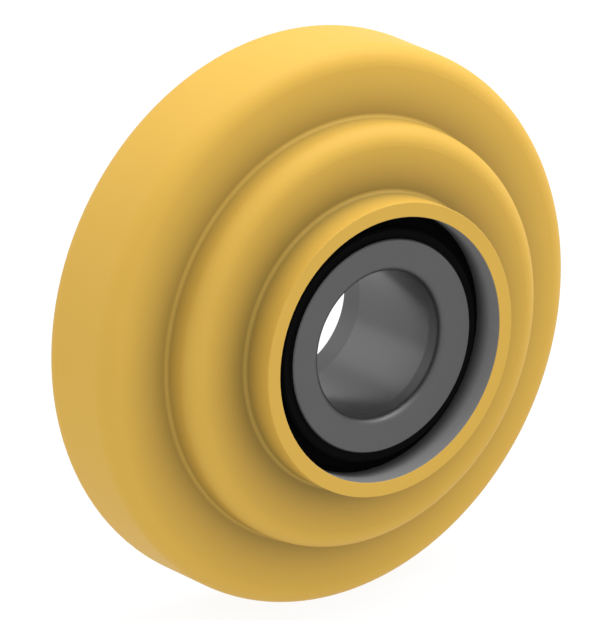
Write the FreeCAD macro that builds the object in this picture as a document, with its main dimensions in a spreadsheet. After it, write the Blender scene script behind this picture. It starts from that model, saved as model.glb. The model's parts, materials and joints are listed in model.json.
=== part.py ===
"""Single-flange track roller on a sealed double-row cylindrical roller bearing.

The roller turns about the Y axis. The origin is the middle of its width on that axis, the hub end
faces -Y and the flange end faces +Y. Every piece is drawn from its own outer end, with depth along
its local +Y, and its placement sets it into the roller: the pieces of the rear stack are those of
the front stack turned end for end. Only the collars differ: the rear one stands nearer to its face
of the shell, and its mouth is chamfered instead of rounded.
"""
import FreeCAD, Part
import os
import re

import Sketcher

# Driving dimensions in millimetres, except the roller count. Depths run from the hub's front face.
SIZES = {
    # shell: hub, tread and flange, one casting
    "shell_width": 49.5,
    "seat_radius": 36.0,
    "hub_radius": 40.0,
    "hub_depth": 9.8,
    "tread_radius": 57.5,
    "tread_front_depth": 9.6,
    "tread_rear_depth": 20.5,
    "rim_radius": 76.2,
    "rim_front_depth": 21.7,
    "hub_root_fillet": 1.0,
    "tread_root_fillet": 1.0,
    "tread_edge_round": 5.0,
    "rim_front_round": 5.5,
    "rim_rear_round": 5.5,
    "hub_edge_chamfer": 0.15,
    "rear_mouth_chamfer": 1.0,
    # snap rings and their grooves
    "snap_depth": 13.25,
    "snap_thickness": 2.5,
    "snap_play": 0.15,
    "groove_radius": 37.5,
    "snap_radius": 37.4,
    "snap_inner_radius": 33.65,
    "snap_eccentricity": 0.75,
    "snap_gap": 4.0,
    "lug_radius": 3.2,
    "lug_height": 33.9,
    "lug_offset": 4.9,
    "lug_hole_radius": 1.25,
    # inner stack on the pin
    "pin_radius": 20.0,
    "mouth_round": 2.6,
    "front_collar_depth": 3.75,
    "rear_collar_depth": 2.85,
    "inner_ring_depth": 9.75,
    "collar_radius": 29.0,
    "collar_edge_chamfer": 0.3,
    "seam_chamfer": 0.25,
    # bearing
    "bearing_depth": 15.75,
    "centre_rib_width": 3.6,
    "centre_rib_radius": 31.0,
    "ring_edge_chamfer": 0.5,
    "pitch_radius": 29.5,
    "roller_radius": 3.5,
    "roller_length": 6.9,
    "roller_edge_round": 0.5,
    "roller_count": 16,
    "race_play": 0.05,
    "end_play": 0.15,
    # comb cages
    "cage_inner_radius": 27.3,
    "cage_outer_radius": 30.8,
    "cage_front_gap": 0.4,
    "cage_middle_gap": 0.1,
    "cage_pocket_play": 0.15,
    # lip seals
    "seal_depth": 9.75,
    "seal_width": 3.5,
    "seal_skin": 0.8,
    "case_gauge": 0.8,
    "case_inner_radius": 31.6,
    "lip_head_radius": 30.9,
    "lip_nose_radius": 30.3,
    "lip_edge_depth": 2.4,
    "lip_edge_play": 0.08,
    "lip_back_depth": 3.4,
    "lip_back_radius": 30.2,
    "lip_waist_depth": 1.9,
    "spring_ring_radius": 31.0,
    "spring_depth": 2.65,
    "spring_wire_radius": 0.45,
    "spring_seat_play": 0.03,
    # dust rings on the collars
    "dust_depth": 4.75,
    "dust_length": 4.2,
    "dust_body_radius": 31.8,
    "dust_body_bevel": 0.6,
    "dust_body_length": 2.0,
    "dust_waist_radius": 30.6,
    "dust_waist_depth": 3.0,
    "dust_tip_radius": 35.0,
    "dust_tip_depth": 4.9,
    "dust_lip_gauge": 0.6,
}

MATCH = 0.001  # mm, how closely an edge must lie to the place it is looked for
FULL_TURN = 360.0
FRONT = "front"
REAR = "rear"

doc = FreeCAD.newDocument("track_roller")
sheet = doc.addObject("Spreadsheet::Sheet", "sizes")
for row, (name, value) in enumerate(SIZES.items(), start=1):
    sheet.set(f"A{row}", name)
    sheet.set(f"B{row}", str(value))
    sheet.setAlias(f"B{row}", name)
doc.recompute()

bodies = []


def from_sheet(formula):
    """Turn a formula of size names into an expression on the sheet's cells."""
    return re.sub(r"[a-z]+(_[a-z]+)+", lambda name: "sizes." + name.group(), formula)


def number(formula):
    """Value of a formula of size names."""
    return float(sheet.evalExpression(from_sheet(formula)))


def new_body(label):
    """Empty body for one piece; its label names the piece's file."""
    body = doc.addObject("PartDesign::Body", label)
    body.Label = label
    bodies.append(body)
    return body


def new_sketch(body, name, plane):
    """Sketch on one of the body's own origin planes."""
    sketch = body.newObject("Sketcher::SketchObject", name)
    for feature in body.Origin.OriginFeatures:
        if feature.Role == plane:
            sketch.AttachmentSupport = [(feature, "")]
    sketch.MapMode = "FlatFace"
    return sketch


def constrain(sketch, formula, *constraint):
    """Add a driving constraint whose value follows the sheet."""
    index = sketch.addConstraint(Sketcher.Constraint(*constraint, number(formula)))
    sketch.setExpression(f"Constraints[{index}]", from_sheet(formula))


def pin_point(sketch, line, point, across, along):
    """Hold one point of a sketch at formulas for its two coordinates, on an axis where one is 0."""
    for formula, kind, axis in ((across, "DistanceX", -2), (along, "DistanceY", -1)):
        if formula == "0":
            sketch.addConstraint(Sketcher.Constraint("PointOnObject", line, point, axis))
        else:
            constrain(sketch, formula, kind, -1, 1, line, point)


def outline_sketch(body, name, plane, corners):
    """Closed outline of straight lines through corners given as pairs of formulas."""
    sketch = new_sketch(body, name, plane)
    points = [FreeCAD.Vector(number(across), number(along), 0) for across, along in corners]
    for index, point in enumerate(points):
        following = points[(index + 1) % len(points)]
        sketch.addGeometry(Part.LineSegment(point, following), False)
    for index, (across, along) in enumerate(corners):
        following = (index + 1) % len(corners)
        sketch.addConstraint(Sketcher.Constraint("Coincident", index, 2, following, 1))
        pin_point(sketch, index, 1, across, along)
    return sketch


def circle_sketch(body, name, plane, circles):
    """Sketch of circles, each given as formulas for its radius and its centre's coordinates."""
    sketch = new_sketch(body, name, plane)
    up = FreeCAD.Vector(0, 0, 1)
    for index, (radius, across, along) in enumerate(circles):
        centre = FreeCAD.Vector(number(across), number(along), 0)
        sketch.addGeometry(Part.Circle(centre, up, number(radius)), False)
        constrain(sketch, radius, "Radius", index)
        pin_point(sketch, index, 3, across, along)
    return sketch


def turn(body, sketch, kind="Revolution"):
    """Revolve a sketch of radius against depth about the axle's axis; a Groove takes it away."""
    feature = body.newObject("PartDesign::" + kind, kind.lower() + "_of_" + sketch.Name)
    feature.Profile = sketch
    feature.ReferenceAxis = (sketch, ["V_Axis"])
    feature.Angle = FULL_TURN
    doc.recompute()
    return feature


def extrude(body, sketch, kind, length=None):
    """Pad or pocket a sketch drawn across the axis: to a depth, or right through with no length."""
    feature = body.newObject("PartDesign::" + kind, kind.lower() + "_of_" + sketch.Name)
    feature.Profile = sketch
    if length is None:
        feature.Type = "ThroughAll"
        feature.Midplane = True
    else:
        feature.setExpression("Length", from_sheet(length))
        # the plane across the axis looks out of the piece, so a pad is turned round to go in
        feature.Reversed = kind == "Pad"
    doc.recompute()
    return feature


def dress(body, kind, size, places):
    """Fillet or chamfer the circular edges at the given radius and depth formulas."""
    base = body.Tip
    edges = []
    for radius, depth in places:
        wanted_radius = number(radius)
        wanted_depth = number(depth)
        for index, edge in enumerate(base.Shape.Edges, start=1):
            curve = edge.Curve
            if not isinstance(curve, Part.Circle):
                continue
            off_radius = abs(curve.Radius - wanted_radius)
            off_depth = abs(curve.Center.y - wanted_depth)
            if off_radius < MATCH and off_depth < MATCH:
                edges.append(f"Edge{index}")
    if len(edges) < len(places):
        raise ValueError(f"{body.Label}: an edge to {kind.lower()} was not found")
    feature = body.newObject("PartDesign::" + kind, kind.lower() + "_" + size)
    feature.Base = (base, edges)
    feature.setExpression("Radius" if kind == "Fillet" else "Size", from_sheet(size))
    doc.recompute()


def turned_body(label, corners):
    """Piece revolved from one outline of (radius, depth) corners."""
    body = new_body(label)
    turn(body, outline_sketch(body, "outline", "XY_Plane", corners))
    return body


def place(body, depth, end=FRONT, across="0", height="0"):
    """Set a piece at its depth from the shell's front face, or turned round from the rear face."""
    if end == FRONT:
        body.setExpression(".Placement.Base.y", from_sheet(f"{depth} - shell_width / 2"))
    else:
        body.Placement.Rotation = FreeCAD.Rotation(FreeCAD.Vector(0, 0, 1), FULL_TURN / 2)
        body.setExpression(".Placement.Base.y", from_sheet(f"shell_width / 2 - ({depth})"))
    if across != "0":
        body.setExpression(".Placement.Base.x", from_sheet(across))
    if height != "0":
        body.setExpression(".Placement.Base.z", from_sheet(height))


def roller_shell():
    """Hub, tread and flange with a straight bearing seat and two snap ring grooves."""
    body = turned_body("roller_shell", [
        ("seat_radius", "0"),
        ("hub_radius", "0"),
        ("hub_radius", "hub_depth"),
        ("tread_radius", "tread_front_depth"),
        ("tread_radius", "tread_rear_depth"),
        ("rim_radius", "rim_front_depth"),
        ("rim_radius", "shell_width"),
        ("seat_radius", "shell_width"),
    ])
    front_wall = "snap_depth - snap_play"
    front_shoulder = "snap_depth + snap_thickness"
    grooves = {
        "front_groove": (front_wall, front_shoulder),
        "rear_groove": (f"shell_width - ({front_shoulder})", f"shell_width - ({front_wall})"),
    }
    for name, (near, far) in grooves.items():
        before = body.Shape.Volume
        groove = outline_sketch(body, name, "XY_Plane", [
            ("seat_radius - snap_play", near),
            ("groove_radius", near),
            ("groove_radius", far),
            ("seat_radius - snap_play", far),
        ])
        turn(body, groove, "Groove")
        if body.Tip.Shape.Volume >= before:
            raise ValueError(f"{name} took nothing away")
    dress(body, "Fillet", "hub_root_fillet", [("hub_radius", "hub_depth")])
    dress(body, "Fillet", "tread_root_fillet", [("tread_radius", "tread_rear_depth")])
    dress(body, "Fillet", "tread_edge_round", [("tread_radius", "tread_front_depth")])
    dress(body, "Fillet", "rim_front_round", [("rim_radius", "rim_front_depth")])
    dress(body, "Fillet", "rim_rear_round", [("rim_radius", "shell_width")])
    dress(body, "Chamfer", "hub_edge_chamfer", [("hub_radius", "0"), ("seat_radius", "0")])
    dress(body, "Chamfer", "rear_mouth_chamfer", [("seat_radius", "shell_width")])
    place(body, "0")


def outer_ring():
    """Bearing outer ring with a middle rib between its two raceways."""
    race = "pitch_radius + roller_radius + race_play"
    length = "shell_width - 2 * bearing_depth"
    rib_front = f"({length} - centre_rib_width) / 2"
    rib_rear = f"({length} + centre_rib_width) / 2"
    body = turned_body("outer_ring", [
        (race, "0"),
        ("seat_radius", "0"),
        ("seat_radius", length),
        (race, length),
        (race, rib_rear),
        ("centre_rib_radius", rib_rear),
        ("centre_rib_radius", rib_front),
        (race, rib_front),
    ])
    dress(body, "Chamfer", "ring_edge_chamfer", [("seat_radius", "0"), ("seat_radius", length)])
    place(body, "bearing_depth")


def inner_ring():
    """Bearing inner ring: a rib at each end, where the seals also run, and one race between."""
    race = "pitch_radius - roller_radius - race_play"
    length = "shell_width - 2 * inner_ring_depth"
    rib = "bearing_depth - inner_ring_depth"
    body = turned_body("inner_ring", [
        ("pin_radius", "0"),
        ("collar_radius", "0"),
        ("collar_radius", rib),
        (race, rib),
        (race, f"{length} - ({rib})"),
        ("collar_radius", f"{length} - ({rib})"),
        ("collar_radius", length),
        ("pin_radius", length),
    ])
    dress(body, "Chamfer", "seam_chamfer", [("collar_radius", "0"), ("collar_radius", length)])
    place(body, "inner_ring_depth")


def collar(end):
    """Thrust collar between the bearing's inner ring and the frame that holds the pin.

    The pin goes in from the front, so only the front collar has a rounded mouth.
    """
    depth = f"{end}_collar_depth"
    length = f"inner_ring_depth - {depth}"
    body = turned_body(end + "_collar", [
        ("pin_radius", "0"),
        ("collar_radius", "0"),
        ("collar_radius", length),
        ("pin_radius", length),
    ])
    sharp_edges = [("collar_radius", "0")]
    if end == FRONT:
        dress(body, "Fillet", "mouth_round", [("pin_radius", "0")])
    else:
        sharp_edges.append(("pin_radius", "0"))
    dress(body, "Chamfer", "collar_edge_chamfer", sharp_edges)
    place(body, depth, end)


def dust_ring(end):
    """Rubber V-ring gripping the collar, its thin lip flaring out to the seal's face."""
    body = turned_body(end + "_dust_ring", [
        ("collar_radius", "0"),
        ("dust_body_radius - dust_body_bevel", "0"),
        ("dust_body_radius", "dust_body_bevel"),
        ("dust_body_radius", "dust_body_length"),
        ("dust_waist_radius", "dust_waist_depth"),
        ("dust_tip_radius - dust_lip_gauge / 2", "dust_tip_depth - dust_lip_gauge"),
        ("dust_tip_radius", "dust_tip_depth"),
        ("dust_waist_radius", "dust_length"),
        ("collar_radius", "dust_length"),
    ])
    place(body, "dust_depth", end)


def seal_lip(end):
    """Rubber of the lip seal: outer coat, face, and a lip that runs on the inner ring's rib."""
    body = turned_body(end + "_seal_lip", [
        ("seat_radius", "0"),
        ("seat_radius", "seal_width"),
        ("seat_radius - seal_skin", "seal_width"),
        ("seat_radius - seal_skin", "seal_skin"),
        ("case_inner_radius", "seal_skin"),
        ("case_inner_radius", "seal_skin + case_gauge"),
        ("lip_head_radius", "lip_waist_depth"),
        ("lip_head_radius", "lip_back_depth"),
        ("lip_back_radius", "lip_back_depth"),
        ("collar_radius + lip_edge_play", "lip_edge_depth"),
        ("lip_nose_radius", "0"),
    ])
    before = body.Tip.Shape.Volume
    seat = circle_sketch(body, "spring_seat", "XY_Plane", [
        ("spring_wire_radius + spring_seat_play", "spring_ring_radius", "spring_depth"),
    ])
    turn(body, seat, "Groove")
    if body.Tip.Shape.Volume >= before:
        raise ValueError("the spring seat took nothing away")
    place(body, "seal_depth", end)


def seal_case(end):
    """Pressed steel L-section that stiffens the lip seal."""
    outer = "seat_radius - seal_skin"
    body = turned_body(end + "_seal_case", [
        (outer, "seal_skin"),
        (outer, "seal_width"),
        (f"{outer} - case_gauge", "seal_width"),
        (f"{outer} - case_gauge", "seal_skin + case_gauge"),
        ("case_inner_radius", "seal_skin + case_gauge"),
        ("case_inner_radius", "seal_skin"),
    ])
    place(body, "seal_depth", end)


def seal_spring(end):
    """Garter spring round the seal's lip, as one closed ring."""
    body = new_body(end + "_seal_spring")
    ring = circle_sketch(body, "wire_section", "XY_Plane", [
        ("spring_wire_radius", "spring_ring_radius", "spring_depth"),
    ])
    turn(body, ring)
    place(body, "seal_depth", end)


def snap_ring(end):
    """Internal snap ring: eccentric open ring, and a lug with a pliers hole at each end."""
    body = new_body(end + "_snap_ring")
    ring = circle_sketch(body, "ring", "XZ_Plane", [
        ("snap_radius", "0", "0"),
        ("snap_inner_radius", "0", "snap_eccentricity"),
    ])
    extrude(body, ring, "Pad", "snap_thickness")
    lugs = circle_sketch(body, "lugs", "XZ_Plane", [
        ("lug_radius", "lug_offset", "lug_height"),
        ("lug_radius", "-lug_offset", "lug_height"),
    ])
    extrude(body, lugs, "Pad", "snap_thickness")
    opening = outline_sketch(body, "opening", "XZ_Plane", [
        ("-snap_gap / 2", "snap_inner_radius / 2"),
        ("snap_gap / 2", "snap_inner_radius / 2"),
        ("snap_gap / 2", "groove_radius"),
        ("-snap_gap / 2", "groove_radius"),
    ])
    extrude(body, opening, "Pocket")
    holes = circle_sketch(body, "pliers_holes", "XZ_Plane", [
        ("lug_hole_radius", "lug_offset", "lug_height"),
        ("lug_hole_radius", "-lug_offset", "lug_height"),
    ])
    extrude(body, holes, "Pocket")
    place(body, "snap_depth", end)


def comb_cage(end):
    """Comb cage of one roller row: a rail beside the middle rib and a prong between rollers."""
    length = "shell_width / 2 - cage_middle_gap - bearing_depth - cage_front_gap"
    body = turned_body(end + "_cage", [
        ("cage_inner_radius", "0"),
        ("cage_outer_radius", "0"),
        ("cage_outer_radius", length),
        ("cage_inner_radius", length),
    ])
    before = body.Tip.Shape.Volume
    pocket_sketch = circle_sketch(body, "pocket_section", "XZ_Plane", [
        ("roller_radius + cage_pocket_play", "0", "pitch_radius"),
    ])
    pocket_depth = "2 * end_play + roller_length - cage_front_gap"
    pocket = extrude(body, pocket_sketch, "Pocket", pocket_depth)
    one_pocket = before - pocket.Shape.Volume
    pattern = body.newObject("PartDesign::PolarPattern", "pockets")
    pattern.Originals = [pocket]
    pattern.Axis = (pocket_sketch, ["N_Axis"])
    pattern.Angle = FULL_TURN
    pattern.setExpression("Occurrences", from_sheet("roller_count"))
    body.Tip = pattern
    doc.recompute()
    if one_pocket <= 0 or pattern.Shape.Volume > before - number("roller_count - 1") * one_pocket:
        raise ValueError(f"{body.Label}: the pockets are not all there")
    place(body, "bearing_depth + cage_front_gap", end)


def cylindrical_roller(end, position):
    """One roller of a row, at its place on the pitch circle."""
    body = turned_body(f"{end}_roller_{position + 1:02d}", [
        ("0", "0"),
        ("roller_radius", "0"),
        ("roller_radius", "roller_length"),
        ("0", "roller_length"),
    ])
    dress(body, "Fillet", "roller_edge_round", [
        ("roller_radius", "0"),
        ("roller_radius", "roller_length"),
    ])
    angle = f"{position} * {FULL_TURN} deg / roller_count"
    place(
        body,
        "bearing_depth + end_play",
        end,
        across=f"pitch_radius * sin({angle})",
        height=f"pitch_radius * cos({angle})",
    )


roller_shell()
outer_ring()
inner_ring()
for end in (FRONT, REAR):
    collar(end)
    dust_ring(end)
    seal_lip(end)
    seal_case(end)
    seal_spring(end)
    snap_ring(end)
    comb_cage(end)
    for position in range(SIZES["roller_count"]):
        cylindrical_roller(end, position)
doc.recompute()

for thing in doc.Objects:
    if "Invalid" in thing.State or "Error" in thing.State:
        raise ValueError(f"{thing.Label} failed: {thing.State}")
for body in bodies:
    if body.Shape.isNull() or not body.Shape.isValid():
        raise ValueError(f"{body.Label} has no valid shape")
    if len(body.Shape.Solids) != 1:
        raise ValueError(f"{body.Label} is not one solid")

os.makedirs("parts", exist_ok=True)
for body in bodies:
    body.Shape.exportStep(os.path.join("parts", body.Label + ".step"))

weight_of_steel = 7.85e-6  # kg per cubic millimetre
total = sum(body.Shape.Volume for body in bodies) * weight_of_steel
print(f"{len(bodies)} pieces, about {total:.2f} kg, flange {2 * number('rim_radius'):.1f} mm")
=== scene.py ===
import json
import math

import bpy
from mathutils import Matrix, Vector


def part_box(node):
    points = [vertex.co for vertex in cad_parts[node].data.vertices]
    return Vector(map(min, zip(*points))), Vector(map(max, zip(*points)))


# A single-flange track roller: yellow painted casting on a sealed roller bearing, with a bare
# machined bore, a steel collar at each end and black rubber seals. Lengths are in metres.

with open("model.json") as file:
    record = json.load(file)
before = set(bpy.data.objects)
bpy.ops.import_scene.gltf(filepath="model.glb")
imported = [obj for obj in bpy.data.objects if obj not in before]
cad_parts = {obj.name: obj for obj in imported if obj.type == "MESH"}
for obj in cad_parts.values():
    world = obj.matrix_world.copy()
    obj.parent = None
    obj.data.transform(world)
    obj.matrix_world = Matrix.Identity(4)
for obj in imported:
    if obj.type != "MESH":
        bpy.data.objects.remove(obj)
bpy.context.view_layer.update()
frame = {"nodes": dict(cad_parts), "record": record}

SEAT_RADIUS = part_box("outer_ring")[1].x
HUB_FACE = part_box("roller_shell")[0].y
SEAL_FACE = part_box("front_seal_lip")[0].y
RIM_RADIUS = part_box("roller_shell")[1].x

# the two inside corners of the shell, as radius and place along the axis
HUB_ROOT = (0.0400, HUB_FACE + 0.0098)
TREAD_ROOT = (0.0575, HUB_FACE + 0.0205)
# painted shade: the enamel is darkened beside the two inside corners, where shade falls, and less
# on each corner's own fillet
SHADE_REACH = 0.016
HUB_CORNER_SHADE = 0.55  # share of painted shade in the paint's colour, right in the hub's corner
TREAD_CORNER_SHADE = 0.44  # the same in the tread's corner
SHADE_STRETCH = 1.4  # painted shade reaches less far along the axis than across it
SHADE_FALL = 1.5  # power of the thinning away from the corner
FILLET_SHADE_SHARE = 0.6  # share of the painted shade left on the corner's own fillet, so that the fillet stays a lighter line
FILLET_SHADE_EDGES = (0.0004, 0.0012)  # distances from the corner over which that share rises to 1

# camera: the angle of view, the height of picture it takes in, and how far off centre the roller is
VIEW_AZIMUTH = math.radians(-37.08)
VIEW_ELEVATION = math.radians(19.36)
VIEW_HEIGHT = 0.16272
VIEW_DISTANCE = 2.98
ROLLER_RIGHT = 0.00669
ROLLER_DOWN = 0.00394
SENSOR_SIZE = 36.0  # in millimetres, as Blender measures sensor and lens
CLIP_END = 10.0

BARE_REACH = 0.00002  # how far past the seat's radius the steel is bare
SEAT_UNSHADED_LENGTH = 0.004  # unshaded steel at each mouth, before painted shade darkens the seat towards the seal
FLOOR_REACH = 6.0  # from the middle of the floor to each side

# colours, most of them as the dark and the light end of a blend
WHITE = (1.0, 1.0, 1.0, 1.0)
PAINT_DARK = (0.588, 0.357, 0.057, 1.0)
PAINT_LIGHT = (0.620, 0.380, 0.064, 1.0)
# painted shade mixed into the enamel beside its inside corners
SHADE_COLOUR = (0.000, 0.045, 0.036, 1.0)
SEAT_STEEL = (0.255, 0.255, 0.255, 1.0)
# the seat's steel darkened with painted shade deeper in the bore
SEAT_SHADED = (0.090, 0.090, 0.090, 1.0)
STEEL_DARK = (0.104, 0.104, 0.105, 1.0)
STEEL_LIGHT = (0.127, 0.127, 0.128, 1.0)
PHOSPHATE_DARK = (0.030, 0.030, 0.032, 1.0)
PHOSPHATE_LIGHT = (0.055, 0.055, 0.058, 1.0)
BRASS_DARK = (0.520, 0.360, 0.130, 1.0)
BRASS_LIGHT = (0.660, 0.480, 0.190, 1.0)
RUBBER_DARK = (0.0010, 0.0010, 0.0010, 1.0)
RUBBER_LIGHT = (0.0024, 0.0023, 0.0022, 1.0)
FLOOR_DARK = (0.085, 0.085, 0.085, 1.0)
FLOOR_LIGHT = (0.095, 0.095, 0.095, 1.0)


# ---------------------------------------------------------------- node helpers

def add(tree, kind, inputs=(), **settings):
    """Make a shader node, set its properties, and feed its inputs with values or other sockets."""
    node = tree.nodes.new(kind)
    for name, value in settings.items():
        setattr(node, name, value)
    for name, value in dict(inputs).items():
        if isinstance(value, bpy.types.NodeSocket):
            tree.links.new(value, node.inputs[name])
        else:
            node.inputs[name].default_value = value
    return node


def math_node(tree, operation, first, second=0.0):
    """Output of a Math node."""
    return add(tree, "ShaderNodeMath", {0: first, 1: second}, operation=operation).outputs[0]


def new_material(name):
    """Material with an empty tree and one Principled shader on its output."""
    material = bpy.data.materials.new(name)
    material.use_nodes = True
    tree = material.node_tree
    tree.nodes.clear()
    shader = add(tree, "ShaderNodeBsdfPrincipled")
    add(tree, "ShaderNodeOutputMaterial", {"Surface": shader.outputs["BSDF"]})
    return material, tree, shader


def place_on_part(tree):
    """Position on the part, its distance from the turning axis, and its place along that axis."""
    place = add(tree, "ShaderNodeTexCoord").outputs["Object"]
    across = add(tree, "ShaderNodeVectorMath", {0: place, 1: (1.0, 0.0, 1.0)}, operation="MULTIPLY")
    radius = add(tree, "ShaderNodeVectorMath", {0: across.outputs[0]}, operation="LENGTH")
    depth = add(tree, "ShaderNodeSeparateXYZ", {0: place}).outputs["Y"]
    return place, radius.outputs["Value"], depth


def noise(tree, place, scale, detail=2.0, roughness=0.5):
    """Value of a noise texture; the scale is its number of lumps in a metre."""
    texture = add(tree, "ShaderNodeTexNoise", {
        "Vector": place,
        "Scale": scale,
        "Detail": detail,
        "Roughness": roughness,
    })
    return texture.outputs["Fac"]


def turned_marks(tree, radius, depth, marks_per_metre):
    """Fine rings left by a lathe: they follow the radius on a face and the depth on a wall."""
    ring_place = add(tree, "ShaderNodeCombineXYZ", {"X": radius, "Y": depth}).outputs[0]
    return noise(tree, ring_place, marks_per_metre, detail=3.0, roughness=0.7)


def between(tree, value, low, high):
    """Map a 0 to 1 value onto a range."""
    spread = add(tree, "ShaderNodeMapRange", {
        "Value": value,
        "To Min": low,
        "To Max": high,
    })
    return spread.outputs[0]


def ramp(tree, value, start, finish):
    """0 at the start value, 1 at the finish value, and a straight ramp between them."""
    slope = add(tree, "ShaderNodeMapRange", {
        "Value": value,
        "From Min": start,
        "From Max": finish,
    })
    return slope.outputs[0]


def mix_colour(tree, amount, first, second):
    """Blend of two colours."""
    node = add(tree, "ShaderNodeMix", {"Factor": amount}, data_type="RGBA")
    # the colour sockets stand after the number and vector ones of the same names
    for socket, value in ((node.inputs[6], first), (node.inputs[7], second)):
        if isinstance(value, bpy.types.NodeSocket):
            tree.links.new(value, socket)
        else:
            socket.default_value = value
    return node.outputs[2]


def bump(tree, height, distance, strength, normal=None):
    """Bump from a height, on top of an earlier bump if there is one."""
    inputs = {"Height": height, "Distance": distance, "Strength": strength}
    if normal is not None:
        inputs["Normal"] = normal
    return add(tree, "ShaderNodeBump", inputs).outputs[0]


# ---------------------------------------------------------------- materials

def distance_from_ring(tree, radius, depth, ring, stretch):
    """Distance from a ring round the axis; stretch counts the way along the axis as longer."""
    ring_radius, ring_depth = ring
    across = math_node(tree, "SUBTRACT", radius, ring_radius)
    along = math_node(tree, "SUBTRACT", depth, ring_depth)
    along = math_node(tree, "MULTIPLY", along, stretch)
    offset = add(tree, "ShaderNodeCombineXYZ", {"X": across, "Y": along}).outputs[0]
    return add(tree, "ShaderNodeVectorMath", {0: offset}, operation="LENGTH").outputs["Value"]


def painted_corner_shade(tree, radius, depth, root):
    """Painted shade beside an inside corner, thinning to none, and weaker on the fillet itself so
    that it stays a lighter line.
    """
    distance = distance_from_ring(tree, radius, depth, root, stretch=SHADE_STRETCH)
    near = math_node(tree, "POWER", ramp(tree, distance, SHADE_REACH, 0.0), SHADE_FALL)
    off_fillet = between(tree, ramp(tree, distance, *FILLET_SHADE_EDGES), FILLET_SHADE_SHARE, 1.0)
    return math_node(tree, "MULTIPLY", near, off_fillet)


def shell_paint():
    """Satin yellow enamel over a casting, with painted shade in its corners, and a bare steel
    bearing seat with painted shade deeper in.
    """
    material, tree, shader = new_material("shell_enamel")
    place, radius, depth = place_on_part(tree)
    bare = math_node(tree, "LESS_THAN", radius, SEAT_RADIUS + BARE_REACH)
    mottle = noise(tree, place, scale=38.0, detail=4.0)
    enamel = mix_colour(tree, mottle, PAINT_DARK, PAINT_LIGHT)
    # painted shade darkens the enamel beside both inside corners
    for root, share in ((HUB_ROOT, HUB_CORNER_SHADE), (TREAD_ROOT, TREAD_CORNER_SHADE)):
        shade_amount = math_node(tree, "MULTIPLY", painted_corner_shade(tree, radius, depth, root), share)
        enamel = mix_colour(tree, shade_amount, enamel, SHADE_COLOUR)
    marks = turned_marks(tree, radius, depth, marks_per_metre=2600.0)
    # painted shade darkens the bare seat from just inside each mouth towards the seal; it is the
    # same from both mouths, so what counts is the way from the roller's middle
    from_middle = math_node(tree, "ABSOLUTE", depth)
    seat_shade = ramp(tree, from_middle, -HUB_FACE - SEAT_UNSHADED_LENGTH, -SEAL_FACE)
    steel = mix_colour(tree, seat_shade, SEAT_STEEL, SEAT_SHADED)
    smudge = noise(tree, place, scale=90.0, detail=3.0)
    enamel_roughness = between(tree, smudge, low=0.50, high=0.60)
    steel_roughness = between(tree, marks, low=0.40, high=0.52)
    roughness = add(tree, "ShaderNodeMix", {
        "Factor": bare,
        "A": enamel_roughness,
        "B": steel_roughness,
    }).outputs[0]
    peel = noise(tree, place, scale=620.0)
    casting = noise(tree, place, scale=150.0, detail=3.0)
    painted = math_node(tree, "SUBTRACT", 1.0, bare)
    peel = math_node(tree, "MULTIPLY", peel, painted)
    casting = math_node(tree, "MULTIPLY", casting, painted)
    bare_marks = math_node(tree, "MULTIPLY", marks, bare)
    skin = bump(tree, peel, distance=0.00004, strength=0.35)
    skin = bump(tree, casting, distance=0.00012, strength=0.3, normal=skin)
    skin = bump(tree, bare_marks, distance=0.00002, strength=0.5, normal=skin)
    tree.links.new(mix_colour(tree, bare, enamel, steel), shader.inputs["Base Color"])
    tree.links.new(roughness, shader.inputs["Roughness"])
    tree.links.new(skin, shader.inputs["Normal"])
    shader.inputs["Specular IOR Level"].default_value = 0.15
    return material


def turned_metal(name, dark, light, marks_per_metre, roughness):
    """Bare metal with lathe marks and a little handling haze; roughness gives its two ends."""
    material, tree, shader = new_material(name)
    place, radius, depth = place_on_part(tree)
    marks = turned_marks(tree, radius, depth, marks_per_metre)
    haze = noise(tree, place, scale=130.0, detail=3.0)
    tone = math_node(tree, "MULTIPLY", math_node(tree, "ADD", marks, haze), 0.5)
    low, high = roughness
    tree.links.new(mix_colour(tree, tone, dark, light), shader.inputs["Base Color"])
    tree.links.new(between(tree, tone, low, high), shader.inputs["Roughness"])
    skin = bump(tree, marks, distance=0.00002, strength=0.5)
    tree.links.new(skin, shader.inputs["Normal"])
    shader.inputs["Metallic"].default_value = 1.0
    return material


def seal_rubber():
    """Matt black nitrile rubber with a moulded grain and a trace of dust."""
    material, tree, shader = new_material("nitrile_rubber")
    place, _, _ = place_on_part(tree)
    dust = noise(tree, place, scale=240.0, detail=5.0, roughness=0.7)
    grain = noise(tree, place, scale=1500.0)
    colour = mix_colour(tree, dust, RUBBER_DARK, RUBBER_LIGHT)
    roughness = between(tree, dust, low=0.70, high=0.85)
    skin = bump(tree, grain, distance=0.00003, strength=0.4)
    tree.links.new(colour, shader.inputs["Base Color"])
    tree.links.new(roughness, shader.inputs["Roughness"])
    tree.links.new(skin, shader.inputs["Normal"])
    shader.inputs["Specular IOR Level"].default_value = 0.05
    return material


def floor_white():
    """Plain white studio floor, glowing a little so that it meets the surround without an edge."""
    material, tree, shader = new_material("studio_floor")
    place, _, _ = place_on_part(tree)
    unevenness = noise(tree, place, scale=4.0)
    tone = mix_colour(tree, unevenness, FLOOR_DARK, FLOOR_LIGHT)
    tree.links.new(tone, shader.inputs["Base Color"])
    shader.inputs["Roughness"].default_value = 0.9
    shader.inputs["Specular IOR Level"].default_value = 0.0
    shader.inputs["Emission Color"].default_value = WHITE
    shader.inputs["Emission Strength"].default_value = 0.92
    return material


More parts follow.
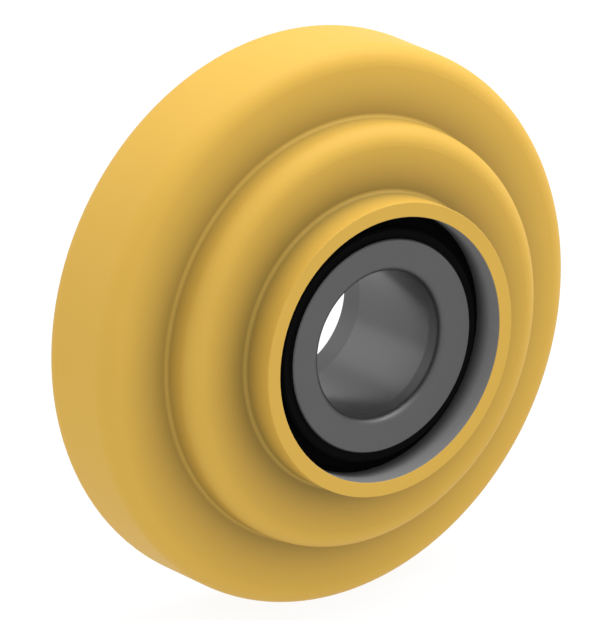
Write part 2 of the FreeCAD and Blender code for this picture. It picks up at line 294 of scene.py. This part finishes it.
def dress_frame():
    """Give every CAD node its material by the record's slot."""
    by_slot = {
        "shell_paint": shell_paint(),
        "collar_steel": turned_metal(
            "collar_steel_turned", STEEL_DARK, STEEL_LIGHT,
            marks_per_metre=2400.0, roughness=(0.40, 0.52)),
        "bearing_steel": turned_metal(
            "bearing_steel_ground", STEEL_DARK, STEEL_LIGHT,
            marks_per_metre=5200.0, roughness=(0.26, 0.36)),
        "spring_steel": turned_metal(
            "spring_steel_phosphated", PHOSPHATE_DARK, PHOSPHATE_LIGHT,
            marks_per_metre=1500.0, roughness=(0.50, 0.62)),
        "cage_brass": turned_metal(
            "cage_brass_machined", BRASS_DARK, BRASS_LIGHT,
            marks_per_metre=2200.0, roughness=(0.28, 0.40)),
        "seal_rubber": seal_rubber(),
    }
    for row in frame["record"]["subparts"]:
        mesh_object = frame["nodes"][row["node"]]
        for slot in mesh_object.material_slots:
            slot.material = by_slot[row["material_slot"]]


# ---------------------------------------------------------------- studio

def facing(azimuth, elevation):
    """Direction from the roller towards an azimuth and elevation."""
    return Vector((
        math.sin(azimuth) * math.cos(elevation),
        -math.cos(azimuth) * math.cos(elevation),
        math.sin(elevation),
    ))


def add_camera():
    """Long-lens camera at the roller's angle of view, aimed a little off its centre."""
    back = facing(VIEW_AZIMUTH, VIEW_ELEVATION)
    right = (-back).cross(Vector((0.0, 0.0, 1.0))).normalized()
    up = right.cross(-back)
    lens = bpy.data.cameras.new("camera")
    lens.sensor_width = SENSOR_SIZE
    lens.lens = SENSOR_SIZE * VIEW_DISTANCE / VIEW_HEIGHT
    lens.clip_end = CLIP_END
    camera = bpy.data.objects.new("camera", lens)
    bpy.context.scene.collection.objects.link(camera)
    camera.location = back * VIEW_DISTANCE - right * ROLLER_RIGHT + up * ROLLER_DOWN
    camera.rotation_mode = "QUATERNION"
    camera.rotation_quaternion = (-back).to_track_quat("-Z", "Y")
    bpy.context.scene.camera = camera


def add_floor():
    """Wide pale floor under the rim."""
    signs = ((-1, -1), (1, -1), (1, 1), (-1, 1))
    corners = [(x * FLOOR_REACH, y * FLOOR_REACH, 0.0) for x, y in signs]
    mesh = bpy.data.meshes.new("floor")
    mesh.from_pydata(corners, [], [(0, 1, 2, 3)])
    mesh.materials.append(floor_white())
    floor = bpy.data.objects.new("floor", mesh)
    floor.location.z = -RIM_RADIUS
    bpy.context.scene.collection.objects.link(floor)


def add_lamp(name, direction, distance, size, power):
    """Square soft light aimed at the roller; it doesn't show in the picture itself."""
    lamp = bpy.data.lights.new(name, "AREA")
    lamp.size = size
    lamp.energy = power
    holder = bpy.data.objects.new(name, lamp)
    towards = Vector(direction).normalized()
    holder.location = towards * distance
    holder.rotation_mode = "QUATERNION"
    holder.rotation_quaternion = (-towards).to_track_quat("-Z", "Y")
    holder.visible_camera = False
    bpy.context.scene.collection.objects.link(holder)


def light_studio():
    """Even white surround, a broad soft light from above, and two weaker ones at the sides."""
    world = bpy.data.worlds.new("studio")
    world.use_nodes = True
    surround = world.node_tree.nodes["Background"]
    surround.inputs["Color"].default_value = WHITE
    surround.inputs["Strength"].default_value = 1.0
    bpy.context.scene.world = world
    bpy.context.scene.view_settings.view_transform = "Standard"
    add_lamp("overhead", (0.30, -0.08, 1.0), distance=1.2, size=0.9, power=10.7)
    add_lamp("right_key", (0.70, -0.12, 0.80), distance=1.2, size=0.5, power=3.0)
    add_lamp("rim_light", (-0.47, 0.75, 0.46), distance=1.3, size=1.0, power=1.7)


dress_frame()
add_camera()
add_floor()
light_studio()
